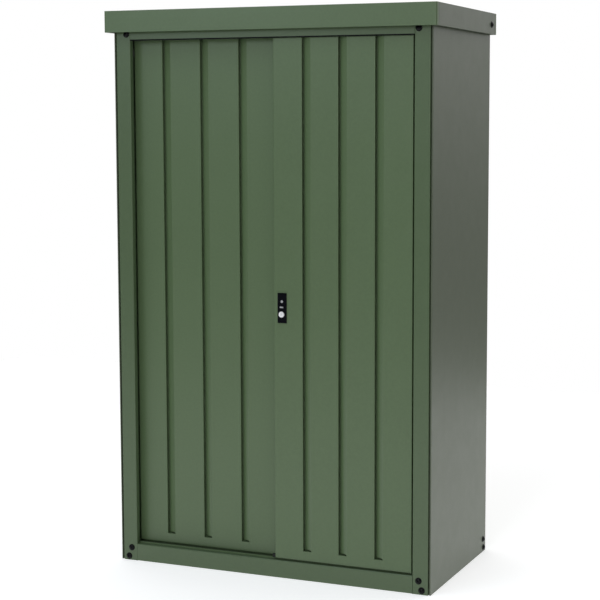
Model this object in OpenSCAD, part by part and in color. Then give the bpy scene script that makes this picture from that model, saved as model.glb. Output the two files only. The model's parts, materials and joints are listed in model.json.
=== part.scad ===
// Slim steel storage shed with two ribbed sliding doors.
// Front faces -Y, +Z is up, and the origin is the middle of the footprint at ground level.
// Sections are folded sheet. A path gives the outer face of the sheet, and the sheet lies to its left.

/* [Body] */
// Width over the two side panels
body_w = 960; // [860:10:1300]
// Depth from the front posts to the back panel
body_d = 500; // [400:10:900]
// Height from the ground to the lower edge of the roof cap
wall_h = 1530; // [1000:10:2000]

/* [Roof cap] */
// Height of the cap's apron
cap_h = 60; // [50:1:90]
// How far the cap stands out past each side panel
cap_side = 18; // [12:1:40]
// How far the cap stands out past the front posts
cap_front = 24; // [12:1:60]
// How far the cap stands out past the back panel
cap_rear = 4; // [2:1:30]
// Open seam beside each corner of the cap
cap_seam = 2; // [1:0.5:5]
// Radius of the cap's upright corners
cap_r = 5; // [3:0.5:8]

/* [Sheet] */
// Thickness of the frame sections
frame_t = 1.2; // [0.8:0.1:1.6]
// Thickness of the panels
panel_t = 0.8; // [0.5:0.1:1.2]
// Outer radius of the frame's folds
frame_r = 2.6; // [2.4:0.1:4]
// Outer radius of the panels' folds
panel_r = 2; // [1.8:0.1:3]

/* [Front frame] */
// Width of a front post's face, slot included
post_w = 52; // [40:1:70]
// Slot between a front post and its side panel
corner_slot = 4; // [2:0.1:8]
// Depth of the lip beside the doorway
lip_d = 17; // [12:1:24]
// Width of the pocket behind that lip
pocket_w = 12; // [8:1:16]
// Height of the front sill
sill_h = 50; // [48:1:80]
// How far the header shows below the cap
header_drop = 20; // [15:1:40]

/* [Doors] */
// Thickness of a door
door_t = 22; // [20:1:26]
// How far the front door's face stands behind the post faces
door_setback = 6.2; // [6:0.1:10]
// Distance from one track to the other
track_pitch = 28; // [28:1:34]
// Width of the right-hand door, which runs in the front track
right_door_w = 409; // [380:1:430]
// How far the left-hand door runs on behind the right-hand door
door_overlap = 30; // [20:1:60]
// Gap between a door's edge and the post that it meets
close_gap = 5; // [3:0.5:8]
// Gap between the sill and the doors
sill_gap = 6; // [5:0.5:10]
// Height of the rails that the doors roll on
rail_h = 4; // [3:0.5:5]

/* [Door grooves] */
// Width of a groove
groove_w = 25; // [22:1:34]
// Distance from one groove to the next on the left-hand door
left_pitch = 120; // [90:1:125]
// Distance from one groove to the next on the right-hand door
right_pitch = 107; // [80:1:110]
// Width of the flat before the left-hand door's first groove
left_margin = 91; // [60:1:105]
// Width of the flat before the right-hand door's first groove
right_margin = 87; // [60:1:95]
// Depth of a groove
groove_d = 16; // [12:1:16]
// How far a groove's steep side runs in behind the flat beside it
groove_under = 3; // [0:0.5:4]
// Width of a groove's bottom
groove_bottom = 6; // [5.5:0.5:8]
// Depth at which the ramp beside a groove's bottom starts, on its way up to the next flat
ramp_d = 10; // [6:1:10]
// Height of the slot across a groove's foot
foot_slot_h = 4; // [3:0.5:8]
// Height of the flat band below the grooves
groove_foot = 26; // [24:1:60]

/* [Lock] */
// Width of the lock plate
plate_w = 27; // [24:1:34]
// Height of the lock plate
plate_h = 84; // [70:1:110]
// Height of the plate's middle above the ground
plate_z = 766; // [500:1:900]
// Distance from the door's edge to the lock plate
plate_inset = 12; // [11:1:20]
// Radius of the key cylinder
key_r = 8; // [6:0.5:9.5]

/* [Hidden] */
$fn = 64;
fold_step = 30;

// Overall box
cap_w = body_w + 2 * cap_side;
cap_d = body_d + cap_front + cap_rear;
cap_x = cap_w / 2;
cap_y0 = -cap_d / 2;
cap_y1 = cap_d / 2;
front_y = cap_y0 + cap_front;
rear_y = front_y + body_d;
side_x = body_w / 2;
roof_z = wall_h + cap_h;
roof_under = roof_z - panel_t;
apron_return = 14;
apron_hem = 10;
rear_hem = cap_rear - 1;
clearance = 5;

// Posts and rails
opening_x = side_x - post_w;
jamb_x = opening_x + pocket_w;
hem_w = 3;
hem_d = 8;
panel_setback = 1;
post_outer_x = side_x - hem_w - corner_slot;
post_d = 60;
post_flange = 16;
rail_w = 30;
inner_x = side_x - panel_t;
inner_y = rear_y - panel_t;
rail_x = inner_x - rail_w;
rail_y = inner_y - rail_w;
base_h = 40;
top_rail_h = 36;
top_rail_z = roof_under - top_rail_h;
stiffener = [40, 22];

// Sill and header
header_d = post_d + frame_t;
sill_lap = 8;
sill_foot = 25;
header_z = wall_h - header_drop;
header_flange = 30;
guide_h = 12;
door_top = header_z + 20;
track_lip_z = door_top + clearance;
track_web_z = track_lip_z + guide_h + clearance;

// Pressed ribs, as [across, depth] outlines: floor, roof and back. They stop rib_end short of the
// sheet's ends, and rib_flat of flat sheet is free beside each for its first and last fold.
floor_rib = [[0, 0], [4, 3], [34, 3], [38, 0]];
roof_rib = [[0, 0], [5, 3], [37, 3], [42, 0]];
back_rib = [[0, 0], [5, 6], [25, 6], [30, 0]];
rib_end = 60;
rib_flat = 20;
floor_ribs = 5;
roof_ribs = 5;
back_ribs = 3;

// Doors, each in its own coordinates: x from its left edge and y from its face
left_door_x = close_gap - jamb_x;
right_door_x = opening_x - close_gap - right_door_w;
left_door_w = right_door_x + door_overlap - left_door_x;
right_door_y = front_y + door_setback;
left_door_y = right_door_y + track_pitch;
door_z = sill_h + sill_gap;
door_h = door_top - door_z;
foot_slot_w = groove_w - 2;
ramp_x = groove_bottom - groove_under;
groove = [[0, 0], [-groove_under, groove_d], [ramp_x, groove_d], [ramp_x, ramp_d], [groove_w, 0]];
foot_slot = [[0, 0], [-groove_under, groove_d], [foot_slot_w, groove_d], [foot_slot_w, 0]];
grooves_each = 3;
groove_head = 16;
stile_w = 24;
stile_front = 10;
bottom_rail_z = sill_h + rail_h + clearance;
bottom_rail_h = 20;
head_rail_h = groove_head - 2;
guide = [34, 14];
guide_inset = 30;
door_hem = 5;

// Rollers
wheel_r = 10;
wheel_w = 8;
tread_r = 8;
tread_w = 4.6;
axle_r = 2.5;
wheel_inset = 60;
seat_gap = 0.3;
rail_t = 3;
wheel_z = sill_h + rail_h + seat_gap + tread_r;
wheel_slot = 15;
axle_y0 = panel_t + frame_t;
axle_y1 = door_t - frame_t;

// Lock
plate_proud = 2;
plate_rim = 1.6;
plate_sink = 0.8;
key_x = plate_inset + plate_w / 2 - 1.5;
key_z = plate_z - plate_h / 2 + 24;
key_proud = 4;
key_gap = 0.3;
keyway = [1.6, 2.5, 8];
case_size = [30, stile_front - panel_t, 60];
case_back = 1.1;
bar_size = [10.5, 1.2, 4];
bar_rise = 20;
dot_r = 3.6;
dot_rise = 36;

// Stop block in the left post, and shoe at the right-hand door's lower corner
stop_block = [9, 9, 18];
stop_drop = 29;
shoe = [8, 8, 10];

// ---- folded sheet ----
function unit(v) = v / norm(v);
function left_of(v) = [-v[1], v[0]];
function turned(v, a) = [v[0] * cos(a) - v[1] * sin(a), v[0] * sin(a) + v[1] * cos(a)];

// The arc that rounds the corner at b between a and c. A fold's outer radius is r where the path turns
// left, and r less the sheet's thickness t where it turns right. A corner too short for that stays sharp.
function fold(a, b, c, r, t) =
    let (
        before = unit(b - a),
        after = unit(c - b),
        side = before * left_of(after) < 0 ? 1 : -1,
        angle = acos(max(-1, min(1, before * after))),
        room = 0.45 * min(norm(b - a), norm(c - b)) / tan(angle / 2),
        radius = min(side > 0 ? r : r - t, room),
        centre = b - before * radius * tan(angle / 2) + left_of(before) * side * radius,
        steps = ceil(angle / fold_step)
    )
    radius < (side > 0 ? 1.3 * t : 0.3)
        ? [b]
        : [for (k = [0:steps]) centre + turned(left_of(before) * -side * radius, side * angle * k / steps)];

// The folded corners between the first and the last point of p, and all of p with its corners folded
function folds(p, r, t) = [for (i = [1:len(p) - 2]) each fold(p[i - 1], p[i], p[i + 1], r, t)];
function folded(p, r, t) = len(p) < 3 ? p : concat([p[0]], folds(p, r, t), [p[len(p) - 1]]);

function inner_point(p, i, t) =
    let (
        before = unit(i > 0 ? p[i] - p[i - 1] : p[1] - p[0]),
        after = i < len(p) - 1 ? unit(p[i + 1] - p[i]) : before,
        miter = unit(left_of(before) + left_of(after))
    )
    p[i] + miter * t / (miter * left_of(before));
function inner_path(p, t) = [for (i = [0:len(p) - 1]) inner_point(p, i, t)];

// The band between two paths, and the section of a sheet that is t thick, with its outer face along p
module band(outer, inner) {
    polygon(concat(outer, [for (i = [len(inner) - 1:-1:0]) inner[i]]));
}
module sheet(p, t) {
    band(p, inner_path(p, t));
}
module strip(p) {
    sheet(folded(p, frame_r, frame_t), frame_t);
}
module thin_strip(p) {
    sheet(folded(p, panel_r, panel_t), panel_t);
}

// Extrusions of a section: upright from (x, y), along X from (y, z), along Y from (x, z)
module upright(z0, z1) {
    translate([0, 0, z0]) linear_extrude(z1 - z0) children();
}
module along_x(x0, x1) {
    translate([x0, 0, 0]) rotate([90, 0, 90]) linear_extrude(x1 - x0) children();
}
module along_y(y0, y1) {
    translate([0, y1, 0]) rotate([90, 0, 0]) linear_extrude(y1 - y0) children();
}
module box(low, high) {
    translate(low) cube(high - low);
}
module right_hand() {
    mirror([1, 0, 0]) children();
}

// A channel with its web outside: lowest, highest and width of the section
module channel(low, high, w) {
    strip([[w, high], [0, high], [0, low], [w, low]]);
}

function even(w, count, outline) =
    [for (i = [0:count - 1]) w * (i + 0.5) / count - outline[len(outline) - 1][0] / 2];
function rib(s, outline) =
    let (
        before = [s - rib_flat, 0],
        after = [s + outline[len(outline) - 1][0] + rib_flat, 0]
    )
    folds(concat([before], [for (p = outline) [s, 0] + p], [after]), panel_r, panel_t);
function ribbed(first, starts, outline, last) =
    concat(first, [for (s = starts) each rib(s, outline)], last);

// A sheet w wide and h long with one rib or groove at each start. The ribs stop short of both ends,
// where a step closes them, and the long edges turn back by edge. The lowest slot_h of a rib can have
// an outline of its own.
module pressed(w, h, starts, outline, foot, head, edge = 0, slot = [], slot_h = 0) {
    hem = [[0, edge], [0, 0], [rib_flat, 0]];
    first = edge > 0 ? concat([hem[0]], folds(hem, panel_r, panel_t)) : [[0, 0]];
    last = [for (i = [len(first) - 1:-1:0]) [w - first[i][0], first[i][1]]];
    flat_path = concat(first, last);
    path = ribbed(first, starts, outline, last);
    inner = inner_path(path, panel_t);
    low_path = slot_h > 0 ? ribbed(first, starts, slot, last) : path;
    low_inner = inner_path(low_path, panel_t);
    low = foot + slot_h;
    for (ends = [[0, foot], [h - head, h]])
        upright(ends[0], ends[1]) sheet(flat_path, panel_t);
    upright(foot - panel_t, foot) band(flat_path, low_inner);
    if (slot_h > 0) {
        upright(foot, low) band(low_path, low_inner);
        upright(low, low + panel_t) band(path, low_inner);
    }
    upright(low, h - head) band(path, inner);
    upright(h - head, h - head + panel_t) band(flat_path, inner);
}

// ---- colours ----
module green() { color("#4f6147") children(); }
module dark_green() { color("#465640") children(); }
module zinc() { color("#9a9c98") children(); }
module black() { color("#15161a") children(); }
module silver() { color("#d4d6d8") children(); }
module grey_plastic() { color("#6d706c") children(); }

// ---- base ----
// The pressed sheet is laid flat here, with its ribs upwards and running from front to back
module laid_sheet(x, y0, y1, z, count, outline) {
    translate([-x, y1, z]) rotate([90, 0, 0])
        pressed(2 * x, y1 - y0, even(2 * x, count, outline), outline, rib_end, rib_end);
}

module floor_panel() {
    zinc() laid_sheet(inner_x - frame_t, front_y + header_d, inner_y - frame_t, base_h,
        floor_ribs, floor_rib);
}

// Front face, flat top that carries the two door rails, a lap for the floor and a foot on the ground.
// A tab closes each end, and an ear runs into each post's pocket.
module front_sill() {
    green() along_x(-opening_x, opening_x) translate([front_y, 0])
        strip([
            [header_d, base_h - sill_lap], [header_d, sill_h], [0, sill_h], [0, 0], [sill_foot, 0]
        ]);
    green() for (x = [-opening_x, opening_x - frame_t])
        box([x, front_y, 0], [x + frame_t, front_y + header_d, sill_h]);
    green() for (x = [-jamb_x, opening_x])
        box([x, front_y + lip_d + frame_r, sill_h - frame_t], [x + pocket_w, front_y + header_d, sill_h]);
}

module sill_rails() {
    green() for (y = [right_door_y, left_door_y])
        box([-opening_x, y + (door_t - rail_t) / 2, sill_h],
            [opening_x, y + (door_t + rail_t) / 2, sill_h + rail_h]);
}

module rear_rail(low, high) {
    dark_green() along_x(-rail_x, rail_x) translate([inner_y, 0]) mirror([1, 0]) channel(low, high, rail_w);
}
module side_rail(low, high) {
    dark_green() along_y(front_y + post_d, rail_y) translate([-inner_x, 0]) channel(low, high, rail_w);
}
module rear_base_rail() { rear_rail(0, base_h); }
module left_base_rail() { side_rail(0, base_h); }
module right_base_rail() { right_hand() left_base_rail(); }

// ---- posts ----
// Face, lip beside the doorway, pocket for the door's edge and a flange at the back
module left_front_post() {
    green() upright(0, roof_under) translate([0, front_y])
        strip([
            [-post_outer_x, post_d], [-post_outer_x, 0], [-opening_x, 0], [-opening_x, lip_d],
            [-jamb_x, lip_d], [-jamb_x, post_d], [-jamb_x - post_flange, post_d]
        ]);
}
module right_front_post() { right_hand() left_front_post(); }

module left_rear_post() {
    dark_green() upright(base_h + panel_t, roof_under)
        strip([
            [-rail_x, inner_y], [-inner_x, inner_y], [-inner_x, rail_y], [-rail_x - rail_w / 2, rail_y]
        ]);
}
module right_rear_post() { right_hand() left_rear_post(); }

// Shallow channel over the joint of the two back panels
module back_stiffener() {
    dark_green() upright(base_h + panel_t, top_rail_z) translate([0, inner_y])
        strip([
            [-stiffener[0] / 2, 0], [-stiffener[0] / 2, -stiffener[1]],
            [stiffener[0] / 2, -stiffener[1]], [stiffener[0] / 2, 0]
        ]);
}

// ---- walls ----
// Flat sheet with a folded front edge, a strip that closes the slot and a lap round the rear corner
module left_side_panel() {
    y = front_y + panel_setback;
    green() upright(0, roof_under)
        thin_strip([
            [-side_x + rail_w, rear_y], [-side_x, rear_y], [-side_x, y],
            [-side_x + hem_w, y], [-side_x + hem_w, y + hem_d], [-post_outer_x, y + hem_d]
        ]);
}
module right_side_panel() { right_hand() left_side_panel(); }

module left_back_panel() {
    w = side_x - rail_w;
    green() translate([0, rear_y, 0]) rotate([0, 0, 180])
        pressed(w, roof_under, even(w, back_ribs, back_rib), back_rib,
            base_h + rib_end, top_rail_h + rib_end);
}
module right_back_panel() { right_hand() left_back_panel(); }

// ---- header and roof ----
// Front face with a flange under the roof, and a track with a lip behind each door
module front_header() {
    green() along_x(-opening_x, opening_x) translate([front_y, 0]) {
        strip([[header_flange, roof_under], [0, roof_under], [0, header_z]]);
        strip([
            [header_d, track_lip_z], [header_d, track_web_z + frame_t], [0, track_web_z + frame_t]
        ]);
        translate([door_setback + (door_t + track_pitch - frame_t) / 2, track_lip_z])
            square([frame_t, track_web_z + frame_t - track_lip_z]);
    }
}

module rear_top_rail() { rear_rail(top_rail_z, roof_under); }
module left_top_rail() { side_rail(top_rail_z, roof_under); }
module right_top_rail() { right_hand() left_top_rail(); }

module roof_stiffener() {
    dark_green() along_y(front_y + header_flange, rail_y) translate([0, roof_under])
        strip([
            [-stiffener[0] / 2, 0], [-stiffener[0] / 2, -stiffener[1]],
            [stiffener[0] / 2, -stiffener[1]], [stiffener[0] / 2, 0]
        ]);
}

// The sheet's corners are cut to the apron's corners
module roof_panel() {
    x = cap_x - cap_r;
    y = cap_y1 - cap_r;
    corners = [[x, y, 0], [-x, y, 90], [-x, -y, 180], [x, -y, 270]];
    green() intersection() {
        laid_sheet(cap_x, cap_y0, cap_y1, roof_under, roof_ribs, roof_rib);
        upright(roof_under - 1, roof_z + cap_h)
            polygon([for (c = corners, a = [0:fold_step:90]) [c[0], c[1]] + turned([cap_r, 0], c[2] + a)]);
    }
}

// Apron: an upright sheet along a path in plan, with a hem turned in at its lower edge
module apron(path, hem) {
    outer = folded(path, cap_r, panel_t);
    green() {
        upright(wall_h, roof_under) sheet(outer, panel_t);
        upright(wall_h, wall_h + panel_t) band(outer, inner_path(path, hem));
    }
}
module front_apron() {
    y = cap_y0 + apron_return;
    apron([[-cap_x, y], [-cap_x, cap_y0], [cap_x, cap_y0], [cap_x, y]], apron_hem);
}
module rear_apron() {
    y = cap_y1 - apron_return;
    apron([[cap_x, y], [cap_x, cap_y1], [-cap_x, cap_y1], [-cap_x, y]], rear_hem);
}
module left_apron() {
    gap = apron_return + cap_seam;
    apron([[-cap_x, cap_y1 - gap], [-cap_x, cap_y0 + gap]], apron_hem);
}
module right_apron() { right_hand() left_apron(); }

module post_stop() {
    grey_plastic() translate([-jamb_x, front_y + lip_d + frame_r, header_z - stop_drop - stop_block[2]])
        cube(stop_block);
}

// ---- doors ----
module at_left_door() { translate([left_door_x, left_door_y, 0]) children(); }
module at_right_door() { translate([right_door_x, right_door_y, 0]) children(); }

// Grooved sheet with its sides folded back to the door's thickness and its lower edge folded under
module door_skin(w, margin, pitch) {
    starts = [for (i = [0:grooves_each - 1]) margin + i * pitch];
    translate([0, 0, door_z]) {
        pressed(w, door_h, starts, groove, groove_foot, groove_head, door_t, foot_slot, foot_slot_h);
        box([panel_r, 0, 0], [w - panel_r, door_hem, panel_t]);
    }
}

// Left-hand stile: a channel open towards the middle of the door
module stile() {
    dark_green() upright(door_z, door_top)
        strip([
            [stile_w, door_t], [panel_t, door_t], [panel_t, stile_front], [stile_w, stile_front]
        ]);
}
module far_stile(w) {
    translate([w, 0, 0]) right_hand() stile();
}

module top_rail(w) {
    low = door_top - head_rail_h;
    dark_green() along_x(stile_w, w - stile_w)
        strip([[door_t, low], [door_t, door_top], [panel_t, door_top], [panel_t, low]]);
}

module bottom_rail(w) {
    high = bottom_rail_z + bottom_rail_h;
    dark_green() difference() {
        along_x(stile_w, w - stile_w)
            strip([
                [panel_t, high], [panel_t, bottom_rail_z], [door_t, bottom_rail_z], [door_t, high]
            ]);
        for (x = [wheel_inset, w - wheel_inset])
            box([x - wheel_slot, axle_y0, bottom_rail_z - 1], [x + wheel_slot, axle_y1, high]);
    }
}

// Grooved wheels on the sill rails, each on an axle between the bottom rail's flanges
module rollers(w) {
    grey_plastic() for (x = [wheel_inset, w - wheel_inset])
        translate([x, door_t / 2, wheel_z]) rotate([90, 0, 0])
            rotate_extrude()
                polygon([
                    [0, -wheel_w / 2], [wheel_r, -wheel_w / 2], [wheel_r, -tread_w / 2],
                    [tread_r, -tread_w / 2], [tread_r, tread_w / 2], [wheel_r, tread_w / 2],
                    [wheel_r, wheel_w / 2], [0, wheel_w / 2]
                ]);
    grey_plastic() for (x = [wheel_inset, w - wheel_inset])
        translate([x, axle_y1, wheel_z]) rotate([90, 0, 0]) cylinder(r = axle_r, h = axle_y1 - axle_y0);
}

// Blocks that keep the door's head between the lips of the track
module guides(w) {
    y = (door_t - guide[1]) / 2;
    grey_plastic() for (x = [guide_inset, w - guide_inset - guide[0]])
        translate([x, y, door_top]) cube([guide[0], guide[1], clearance + guide_h]);
}

module left_door_skin() { green() at_left_door() door_skin(left_door_w, left_margin, left_pitch); }
module left_door_outer_stile() { at_left_door() stile(); }
module left_door_inner_stile() { at_left_door() far_stile(left_door_w); }
module left_door_top_rail() { at_left_door() top_rail(left_door_w); }
module left_door_bottom_rail() { at_left_door() bottom_rail(left_door_w); }
module left_door_rollers() { at_left_door() rollers(left_door_w); }
module left_door_guides() { at_left_door() guides(left_door_w); }

module key_hole(y0, y1) {
    translate([key_x, y1, key_z]) rotate([90, 0, 0]) cylinder(r = key_r + key_gap, h = y1 - y0);
}

module right_door_skin() {
    green() at_right_door() difference() {
        door_skin(right_door_w, right_margin, right_pitch);
        key_hole(-1, panel_t + 1);
    }
}
module right_door_outer_stile() { at_right_door() far_stile(right_door_w); }
module right_door_inner_stile() { at_right_door() stile(); }
module right_door_top_rail() { at_right_door() top_rail(right_door_w); }
module right_door_bottom_rail() { at_right_door() bottom_rail(right_door_w); }
module right_door_rollers() { at_right_door() rollers(right_door_w); }
module right_door_guides() { at_right_door() guides(right_door_w); }

module right_door_shoe() {
    grey_plastic() at_right_door() translate([-shoe[0], 0, door_z]) cube(shoe);
}

// ---- lock ----
module lock_plate() {
    x1 = plate_inset + plate_w;
    z = plate_z - plate_h / 2;
    black() at_right_door() difference() {
        box([plate_inset, -plate_proud, z], [x1, 0, z + plate_h]);
        box([plate_inset + plate_rim, -plate_proud - 1, z + plate_rim],
            [x1 - plate_rim, plate_sink - plate_proud, z + plate_h - plate_rim]);
        key_hole(-plate_proud - 1, 1);
    }
}

// A small bar and a round button above the key cylinder
module lock_marks() {
    y = plate_sink - plate_proud;
    silver() at_right_door() {
        translate([key_x - bar_size[0] / 2, y - bar_size[1], key_z + bar_rise - bar_size[2] / 2])
            cube(bar_size);
        translate([key_x + 1, y, key_z + dot_rise]) rotate([90, 0, 0]) cylinder(r = dot_r, h = bar_size[1]);
    }
}

module lock_case() {
    zinc() at_right_door() difference() {
        translate([key_x - case_size[0] / 2, panel_t, key_z - case_size[2] / 2]) cube(case_size);
        key_hole(panel_t - 1, stile_front - case_back);
    }
}

module lock_cylinder() {
    y1 = stile_front - case_back - key_gap;
    silver() at_right_door() difference() {
        translate([key_x, y1, key_z]) rotate([90, 0, 0]) cylinder(r = key_r, h = y1 + key_proud);
        translate([key_x - keyway[0] / 2, -key_proud - 1, key_z - keyway[2] / 2])
            cube([keyway[0], keyway[1] + 1, keyway[2]]);
    }
}

floor_panel();
front_sill();
sill_rails();
rear_base_rail();
left_base_rail();
right_base_rail();
left_front_post();
right_front_post();
left_rear_post();
right_rear_post();
back_stiffener();
left_side_panel();
right_side_panel();
left_back_panel();
right_back_panel();
front_header();
rear_top_rail();
left_top_rail();
right_top_rail();
roof_stiffener();
roof_panel();
front_apron();
rear_apron();
left_apron();
right_apron();
post_stop();
left_door_skin();
left_door_outer_stile();
left_door_inner_stile();
left_door_top_rail();
left_door_bottom_rail();
left_door_rollers();
left_door_guides();
right_door_skin();
right_door_outer_stile();
right_door_inner_stile();
right_door_top_rail();
right_door_bottom_rail();
right_door_rollers();
right_door_guides();
right_door_shoe();
lock_plate();
lock_marks();
lock_case();
lock_cylinder();
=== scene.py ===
"""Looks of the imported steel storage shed: paint, plastic, bolt heads, light and camera, in metres."""
import json
import math

import bmesh
import bpy
from mathutils import Matrix, Vector


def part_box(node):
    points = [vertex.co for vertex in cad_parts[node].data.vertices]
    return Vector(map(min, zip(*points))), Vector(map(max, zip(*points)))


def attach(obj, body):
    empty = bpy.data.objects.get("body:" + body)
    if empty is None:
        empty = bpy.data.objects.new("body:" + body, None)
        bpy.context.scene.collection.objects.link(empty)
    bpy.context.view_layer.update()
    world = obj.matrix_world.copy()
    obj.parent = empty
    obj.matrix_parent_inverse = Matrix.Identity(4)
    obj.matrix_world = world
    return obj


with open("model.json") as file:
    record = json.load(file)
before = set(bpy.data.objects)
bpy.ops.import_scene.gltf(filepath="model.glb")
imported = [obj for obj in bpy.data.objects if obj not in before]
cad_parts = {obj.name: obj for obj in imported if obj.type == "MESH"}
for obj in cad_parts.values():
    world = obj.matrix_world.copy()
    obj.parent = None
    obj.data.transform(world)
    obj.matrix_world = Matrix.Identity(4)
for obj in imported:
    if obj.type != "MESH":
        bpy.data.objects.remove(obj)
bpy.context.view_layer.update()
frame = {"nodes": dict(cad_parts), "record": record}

MM = 0.001

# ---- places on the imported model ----
post_low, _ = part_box("left_front_post")
side_low, side_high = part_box("left_side_panel")
apron_low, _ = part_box("left_apron")
FRONT_Y = post_low.y
REAR_Y = side_high.y
SIDE_X = -side_low.x
WALL_TOP = apron_low.z
CAP_X = -apron_low.x


# ---- materials ----
class Paint:
    """A node material that is built up one node at a time."""

    def __init__(self, name):
        self.material = bpy.data.materials.new(name)
        self.material.use_nodes = True
        self.tree = self.material.node_tree
        self.shader = self.tree.nodes["Principled BSDF"]
        self.place = self.tree.nodes.new("ShaderNodeTexCoord").outputs["Object"]

    def set(self, **values):
        for name, value in values.items():
            self.shader.inputs[name.replace("_", " ")].default_value = value

    def node(self, kind, **values):
        made = self.tree.nodes.new(kind)
        for name, value in values.items():
            if name in made.inputs:
                made.inputs[name].default_value = value
            else:
                setattr(made, name, value)
        return made

    def link(self, out, into):
        self.tree.links.new(out, into)

    def noise(self, scale, detail=2.0, stretch=(1, 1, 1)):
        mapping = self.node("ShaderNodeMapping")
        mapping.inputs["Scale"].default_value = stretch
        self.link(self.place, mapping.inputs["Vector"])
        made = self.node("ShaderNodeTexNoise", Scale=scale, Detail=detail)
        self.link(mapping.outputs["Vector"], made.inputs["Vector"])
        return made.outputs["Fac"]

    def ramp(self, value, stops):
        made = self.node("ShaderNodeValToRGB")
        elements = made.color_ramp.elements
        for element, (at, colour) in zip(elements, stops[:2]):
            element.position, element.color = at, colour
        for at, colour in stops[2:]:
            elements.new(at).color = colour
        self.link(value, made.inputs["Fac"])
        return made.outputs["Color"]

    def mix(self, share, first, second):
        made = self.node("ShaderNodeMix", data_type="RGBA")
        for value, socket in ((share, made.inputs[0]), (first, made.inputs[6]), (second, made.inputs[7])):
            if isinstance(value, bpy.types.NodeSocket):
                self.link(value, socket)
            else:
                socket.default_value = value
        return made.outputs[2]

    def bump(self, *layers):
        """Each layer is a height, its distance in metres and its strength."""
        normal = None
        for height, distance, strength in layers:
            made = self.node("ShaderNodeBump", Distance=distance, Strength=strength)
            self.link(height, made.inputs["Height"])
            if normal:
                self.link(normal, made.inputs["Normal"])
            normal = made.outputs["Normal"]
        self.link(normal, self.shader.inputs["Normal"])


def shade(colour, factor):
    return tuple(c * factor for c in colour[:3]) + (1,)


def grey(value):
    return (value, value, value, 1)


def painted_steel(name, colour, roughness, shine=0.5):
    """Semi-gloss baked enamel: faint mottling, orange peel and the slight waves of thin sheet."""
    paint = Paint(name)
    paint.set(Specular_IOR_Level=shine)
    mottle = paint.ramp(paint.noise(5, 3), [(0.3, shade(colour, 0.98)), (0.7, shade(colour, 1.02))])
    speck = paint.noise(160, 4)
    share = paint.ramp(speck, [(0.35, grey(0)), (0.75, grey(1))])
    paint.link(paint.mix(share, mottle, shade(colour, 1.08)), paint.shader.inputs["Base Color"])
    gloss = paint.ramp(paint.noise(24, 3), [(0.3, grey(roughness - 0.02)), (0.7, grey(roughness + 0.02))])
    paint.link(gloss, paint.shader.inputs["Roughness"])
    paint.bump(
        (paint.noise(2.2, 0, (1, 1, 0.5)), 0.0012, 0.35),
        (paint.noise(900, 1), 0.00005, 0.35),
    )
    return paint.material


def galvanised(name):
    """Zinc-coated sheet with pale and dark spangles."""
    paint = Paint(name)
    cells = paint.node("ShaderNodeTexVoronoi", Scale=90)
    paint.link(paint.place, cells.inputs["Vector"])
    tone = paint.ramp(cells.outputs["Color"], [(0.1, (0.40, 0.41, 0.42, 1)), (0.9, (0.58, 0.59, 0.60, 1))])
    paint.link(tone, paint.shader.inputs["Base Color"])
    paint.set(Metallic=0.85)
    gloss = paint.ramp(cells.outputs["Color"], [(0.1, grey(0.42)), (0.9, grey(0.55))])
    paint.link(gloss, paint.shader.inputs["Roughness"])
    paint.bump((paint.noise(600, 2), 0.00005, 0.2))
    return paint.material


def moulded_plastic(name, colour, roughness, shine=0.5):
    """Moulded plastic with a fine spark-eroded grain."""
    paint = Paint(name)
    paint.set(Specular_IOR_Level=shine)
    tone = paint.ramp(paint.noise(60, 3), [(0.3, shade(colour, 0.85)), (0.7, shade(colour, 1.2))])
    paint.link(tone, paint.shader.inputs["Base Color"])
    paint.set(Roughness=roughness)
    paint.bump((paint.noise(1500, 3), 0.00006, 0.5))
    return paint.material


def satin_metal(name, colour, roughness, metallic=1.0):
    """Nickel-plated metal with faint turning marks."""
    paint = Paint(name)
    paint.set(Metallic=metallic, Base_Color=colour)
    gloss = paint.ramp(paint.noise(500, 2), [(0.3, grey(roughness - 0.05)), (0.7, grey(roughness + 0.08))])
    paint.link(gloss, paint.shader.inputs["Roughness"])
    paint.bump((paint.noise(900, 1, (1, 1, 0.2)), 0.00002, 0.3))
    return paint.material


# Where a part's paint or material looks different from its slot's. On the header and the cap's end aprons
# the change paints light and shade.
OWN_LOOK = {
    "left_front_post": "post_paint_and_header_shade",
    "right_front_post": "post_paint_and_header_shade",
    "front_sill": "post_paint_and_header_shade",
    # The header takes the darker green as painted shade: the cap's shadow on it
    "front_header": "post_paint_and_header_shade",
    # The cap's end aprons take the sides' greyer copy of the green: painted light, the grey sheen of their
    # grazing reflection
    "left_apron": "side_paint",
    "right_apron": "side_paint",
    "lock_cylinder": "key_metal",
    # The door's plastic shoe is made near black: painted shade, the shadow line and dark dot at the foot of
    # the door joint
    "right_door_shoe": "shoe_plastic_and_joint_shade",
}

GREEN = (0.078, 0.122, 0.056, 1)
# A greyer copy of the green for the sides: painted light, the grey sheen that grazing reflection gives them
SIDE_LIT_GREEN = (0.085, 0.104, 0.068, 1)
FRAME_GREEN = (0.062, 0.092, 0.052, 1)
POST_GREEN = (0.067, 0.105, 0.049, 1)

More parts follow.
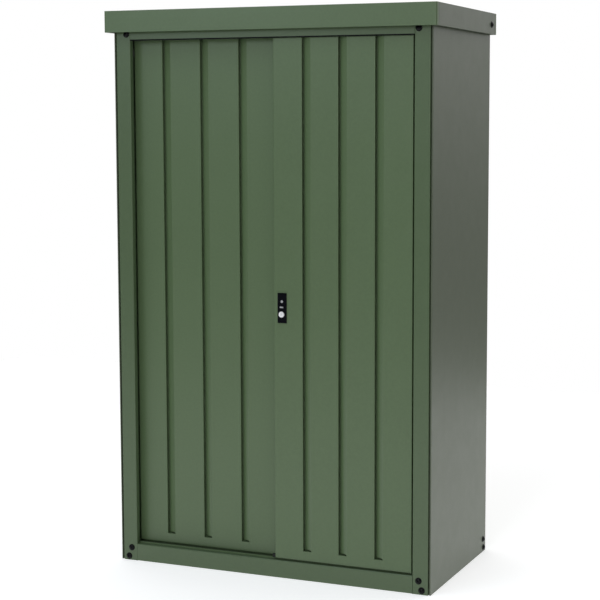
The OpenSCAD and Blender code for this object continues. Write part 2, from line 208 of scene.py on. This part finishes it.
MATERIALS = {
    "green_paint": painted_steel("green_enamel", GREEN, 0.36),
    # Darker green for the posts and the sill; on the header it is painted shade, the cap's shadow
    "post_paint_and_header_shade": painted_steel("post_enamel", POST_GREEN, 0.34),
    # The sides' greyer, less glossy copy of the green: painted light, the grey sheen of grazing reflection
    # on the sides
    "side_paint": painted_steel("side_lit_enamel", SIDE_LIT_GREEN, 0.36, 0.36),
    "frame_paint": painted_steel("frame_enamel", FRAME_GREEN, 0.45),
    "zinc_steel": galvanised("galvanised_steel"),
    "black_plastic": moulded_plastic("black_plastic", (0.002, 0.0022, 0.004, 1), 0.3, 0.08),
    "grey_plastic": moulded_plastic("grey_plastic", (0.05, 0.055, 0.05, 1), 0.5),
    "bright_metal": satin_metal("satin_nickel", (0.62, 0.63, 0.65, 1), 0.3),
    "key_metal": satin_metal("brushed_nickel", (0.78, 0.78, 0.79, 1), 0.42, 0.35),
    # Near-black plastic for the door's shoe: its own colour darkened to paint the shadow at the foot of the
    # door joint
    "shoe_plastic_and_joint_shade": moulded_plastic("shoe_plastic_and_joint_shade", (0.012, 0.015, 0.012, 1), 0.6, 0.2),
    "bolt_black": moulded_plastic("black_bolt", (0.002, 0.0026, 0.0028, 1), 0.26, 0.14),
}

# Sheet that turns by more than this keeps a sharp edge
FOLD_ANGLE = math.radians(31)


def dress_frame():
    """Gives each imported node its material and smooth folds, with its sharper edges kept sharp."""
    looks = {s["node"]: s["material_slot"] for s in frame["record"]["subparts"]}
    looks.update(OWN_LOOK)
    for name, obj in frame["nodes"].items():
        obj.data.materials.clear()
        obj.data.materials.append(MATERIALS[looks[name]])
        for polygon in obj.data.polygons:
            polygon.use_smooth = True
        obj.data.set_sharp_from_angle(angle=FOLD_ANGLE)


# ---- bolt heads and screws ----
def lathed(name, profile, material, steps=32):
    """A turned piece about +Z: its profile is (radius, height), from the middle of the base to the top's."""
    mesh = bpy.data.meshes.new(name)
    bm = bmesh.new()
    rings = []
    for radius, height in profile:
        if radius == 0:
            rings.append([bm.verts.new((0, 0, height))])
        else:
            rings.append([
                bm.verts.new((radius * math.cos(a), radius * math.sin(a), height))
                for a in (2 * math.pi * k / steps for k in range(steps))
            ])
    for low, high in zip(rings, rings[1:]):
        for k in range(steps):
            n = (k + 1) % steps
            if len(high) == 1:
                bm.faces.new((low[k], low[n], high[0]))
            elif len(low) == 1:
                bm.faces.new((low[0], high[n], high[k]))
            else:
                bm.faces.new((low[k], low[n], high[n], high[k]))
    for face in bm.faces:
        face.smooth = True
    bm.to_mesh(mesh)
    bm.free()
    mesh.set_sharp_from_angle(angle=math.radians(40))
    mesh.materials.append(material)
    return mesh


def millimetres(profile):
    return [(radius * MM, height * MM) for radius, height in profile]


# A flange, a dome that closes towards the middle and a round recess in it
BOLT_DOME = [
    (7.6 * math.cos(math.radians(a)), 1.2 + 3.8 * math.sin(math.radians(a))) for a in range(0, 68, 12)
]
BOLT_PROFILE = millimetres(
    [(0, 0), (9.4, 0), (9.4, 0.9), (8.2, 1.2)] + BOLT_DOME + [(2.6, 4.9), (2.4, 2.6), (0, 2.4)]
)
SCREW_PROFILE = millimetres([
    (0, 0), (5.5, 0), (5.5, 0.6), (3.9, 0.9), (3.7, 3.4), (3.0, 3.9), (1.2, 3.9), (1.0, 3.0), (0, 3.0)
])

# The turn that stands a head, made along +Z, on each side of the shed
AXES = {
    "front": Matrix.Rotation(math.pi / 2, 4, "X"),
    "back": Matrix.Rotation(-math.pi / 2, 4, "X"),
    "left": Matrix.Rotation(-math.pi / 2, 4, "Y"),
    "right": Matrix.Rotation(math.pi / 2, 4, "Y"),
}


def fastener(name, mesh, place, side):
    obj = bpy.data.objects.new(name, mesh)
    bpy.context.scene.collection.objects.link(obj)
    obj.matrix_world = Matrix.Translation(place) @ AXES[side]
    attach(obj, "cabinet")


# Where a bolt's middle lies: (x, z) on the front and (y, z) on a side and on the cap's end. The left and
# the right are the same.
FRONT_BOLTS = {
    "top": (0.440, WALL_TOP - 0.005),
    "foot_high": (0.446, 0.038),
    "foot_low": (0.455, 0.012),
}
SIDE_BOLTS = {
    "high": (REAR_Y - 0.025, 0.038),
    "low": (REAR_Y - 0.021, 0.0125),
}
CAP_BOLT = (FRONT_Y + 0.456, WALL_TOP + 0.027)


def add_bolts():
    """Black domed bolt heads at the corners of the front, the sides and the cap."""
    bolt = lathed("bolt_head", BOLT_PROFILE, MATERIALS["bolt_black"])
    for side, sign in (("left", -1), ("right", 1)):
        for name, (x, z) in FRONT_BOLTS.items():
            fastener(f"bolt_front_{name}_{side}", bolt, (sign * x, FRONT_Y, z), "front")
        for name, (y, z) in SIDE_BOLTS.items():
            fastener(f"bolt_side_{name}_{side}", bolt, (sign * SIDE_X, y, z), side)
        fastener(f"bolt_cap_{side}", bolt, (sign * CAP_X, *CAP_BOLT), side)


def extruded(name, profile, length, material):
    """A strip with a constant section: the profile is (y, z) and runs along X."""
    mesh = bpy.data.meshes.new(name)
    bm = bmesh.new()
    ends = [[bm.verts.new((x, y, z)) for y, z in profile] for x in (0, length)]
    for k in range(len(profile)):
        n = (k + 1) % len(profile)
        bm.faces.new((ends[0][k], ends[0][n], ends[1][n], ends[1][k]))
    bm.faces.new(list(reversed(ends[0])))
    bm.faces.new(ends[1])
    bmesh.ops.recalc_face_normals(bm, faces=bm.faces)
    for face in bm.faces:
        face.smooth = True
    bm.to_mesh(mesh)
    bm.free()
    mesh.set_sharp_from_angle(angle=math.radians(50))
    mesh.materials.append(material)
    return mesh


# Size of the black strip that paints the shadow line under the header
EDGE_THICK, EDGE_TALL, EDGE_PROUD = 1.6 * MM, 3.6 * MM, 0.4 * MM


def add_header_shadow_strip():
    """A black strip with a round lower edge, under the header and above both doors: it paints the shadow
    line between the header and the doors.
    """
    low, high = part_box("front_header")
    radius = EDGE_THICK / 2
    round_edge = [
        (radius - radius * math.cos(math.radians(a)), radius - radius * math.sin(math.radians(a)))
        for a in range(0, 181, 20)
    ]
    profile = round_edge + [(EDGE_THICK, EDGE_TALL), (0, EDGE_TALL)]
    # The strip takes the bolts' near-black plastic, to paint the shadow line
    mesh = extruded("header_shadow_strip", profile, high.x - low.x, MATERIALS["bolt_black"])
    obj = bpy.data.objects.new("header_shadow_strip", mesh)
    bpy.context.scene.collection.objects.link(obj)
    obj.location = (low.x, low.y - EDGE_PROUD, low.z - EDGE_TALL)
    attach(obj, "cabinet")


SCREW_ROWS = 6
LOWEST_SCREW, HIGHEST_SCREW = 0.09, WALL_TOP - 0.08
EDGE_SCREW_X = SIDE_X - 0.015
JOINT_SCREW_X = 0.010


def add_screws():
    """Small screws down the edges and the middle joint of the back."""
    screw = lathed("screw_head", SCREW_PROFILE, MATERIALS["bolt_black"], 24)
    columns = {
        "left": -EDGE_SCREW_X, "right": EDGE_SCREW_X, "middle_a": -JOINT_SCREW_X, "middle_b": JOINT_SCREW_X
    }
    for k in range(SCREW_ROWS):
        z = LOWEST_SCREW + k * (HIGHEST_SCREW - LOWEST_SCREW) / (SCREW_ROWS - 1)
        for name, x in columns.items():
            fastener(f"screw_back_{name}_{k}", screw, (x, REAR_Y, z), "back")


# ---- studio ----
FLOOR_HALF = 3


def add_floor():
    """A pale matt floor that glows a little, so that it is white around the shed."""
    mesh = bpy.data.meshes.new("floor")
    corners = [(x * FLOOR_HALF, y * FLOOR_HALF, 0) for x, y in ((-1, -1), (1, -1), (1, 1), (-1, 1))]
    mesh.from_pydata(corners, [], [(0, 1, 2, 3)])
    floor = bpy.data.objects.new("floor", mesh)
    bpy.context.scene.collection.objects.link(floor)
    material = bpy.data.materials.new("pale_floor")
    material.use_nodes = True
    shader = material.node_tree.nodes["Principled BSDF"]
    shader.inputs["Base Color"].default_value = (0.76, 0.76, 0.76, 1)
    shader.inputs["Roughness"].default_value = 0.9
    shader.inputs["Specular IOR Level"].default_value = 0
    shader.inputs["Emission Color"].default_value = (1, 1, 1, 1)
    shader.inputs["Emission Strength"].default_value = 0.5
    mesh.materials.append(material)


def add_light(name, place, target, size, power, colour):
    data = bpy.data.lights.new(name, "AREA")
    data.shape = "RECTANGLE"
    data.size, data.size_y = size
    data.energy = power
    data.color = colour
    light = bpy.data.objects.new(name, data)
    bpy.context.scene.collection.objects.link(light)
    light.location = place
    light.rotation_euler = (Vector(target) - Vector(place)).to_track_quat("-Z", "Y").to_euler()


# Brightness of the world low down, in front, behind above the horizon, and what height adds to it
WORLD_BELOW, WORLD_FRONT, WORLD_BACK, WORLD_TOP = 0.20, 0.06, 0.90, 0.1


def add_world():
    """White all round for the eye. It lights the shed from behind and above, and dimly from the front."""
    world = bpy.data.worlds.new("studio")
    bpy.context.scene.world = world
    world.use_nodes = True
    tree = world.node_tree
    background = tree.nodes["Background"]
    background.inputs["Color"].default_value = (1, 1, 1, 1)

    def node(kind, **values):
        made = tree.nodes.new(kind)
        for name, value in values.items():
            setattr(made, name, value)
        return made

    def steps(out, low, high, first, last):
        made = node("ShaderNodeMapRange", interpolation_type="SMOOTHSTEP")
        tree.links.new(out, made.inputs["Value"])
        for name, value in zip(("From Min", "From Max", "To Min", "To Max"), (low, high, first, last)):
            made.inputs[name].default_value = value
        return made.outputs["Result"]

    split = node("ShaderNodeSeparateXYZ")
    tree.links.new(node("ShaderNodeTexCoord").outputs["Generated"], split.inputs[0])
    behind = steps(split.outputs["Y"], -0.1, 0.5, WORLD_FRONT, WORLD_BACK)
    above = steps(split.outputs["Z"], -0.08, 0.12, 0.0, 1.0)
    high = steps(split.outputs["Z"], 0.1, 0.8, WORLD_BELOW, WORLD_BELOW + WORLD_TOP)
    total = node("ShaderNodeMath", operation="MULTIPLY_ADD")
    for out, into in zip((behind, above, high), total.inputs):
        tree.links.new(out, into)
    seen = node("ShaderNodeMath", operation="MAXIMUM")
    tree.links.new(total.outputs[0], seen.inputs[0])
    tree.links.new(node("ShaderNodeLightPath").outputs["Is Camera Ray"], seen.inputs[1])
    tree.links.new(seen.outputs[0], background.inputs["Strength"])


WHITE, COOL = (1, 1, 1), (0.88, 0.97, 1.12)
LIGHTS = {
    # name: place, target, width and height, power, colour
    "key": ((0.45, -3.9, 2.2), (0, 0, 0.8), (0.9, 2.0), 31, WHITE),
    "top": ((-0.5, -1.9, 3.9), (0, -0.1, 0.8), (3.0, 1.4), 30, COOL),
    "strip": ((-2.1, -3.8, 2.5), (0, 0, 1.2), (1.4, 1.3), 18, COOL),
}


def add_lights():
    for name, values in LIGHTS.items():
        add_light(name, *values)


def add_camera():
    """A long lens to the right of the front, with a small shift that frames the shed."""
    place = (1.837, -4.124, 1.286)
    yaw, pitch, roll = 0.3857, -0.1049, 0.0005
    forward = Vector((-math.sin(yaw) * math.cos(pitch), math.cos(yaw) * math.cos(pitch), math.sin(pitch)))
    right = Vector((math.cos(yaw), math.sin(yaw), 0))
    up = right.cross(forward)
    turn = Matrix((right, up, -forward)).transposed().to_4x4() @ Matrix.Rotation(roll, 4, "Z")
    data = bpy.data.cameras.new("camera")
    data.sensor_width = 36
    data.lens = 93.37
    data.shift_x, data.shift_y = -0.092, -0.028
    data.clip_end = 60
    camera = bpy.data.objects.new("camera", data)
    bpy.context.scene.collection.objects.link(camera)
    camera.matrix_world = Matrix.Translation(place) @ turn
    bpy.context.scene.camera = camera


add_camera()
dress_frame()
add_bolts()
add_screws()
add_header_shadow_strip()
add_floor()
add_world()
add_lights()
bpy.context.scene.view_settings.view_transform = "Standard"
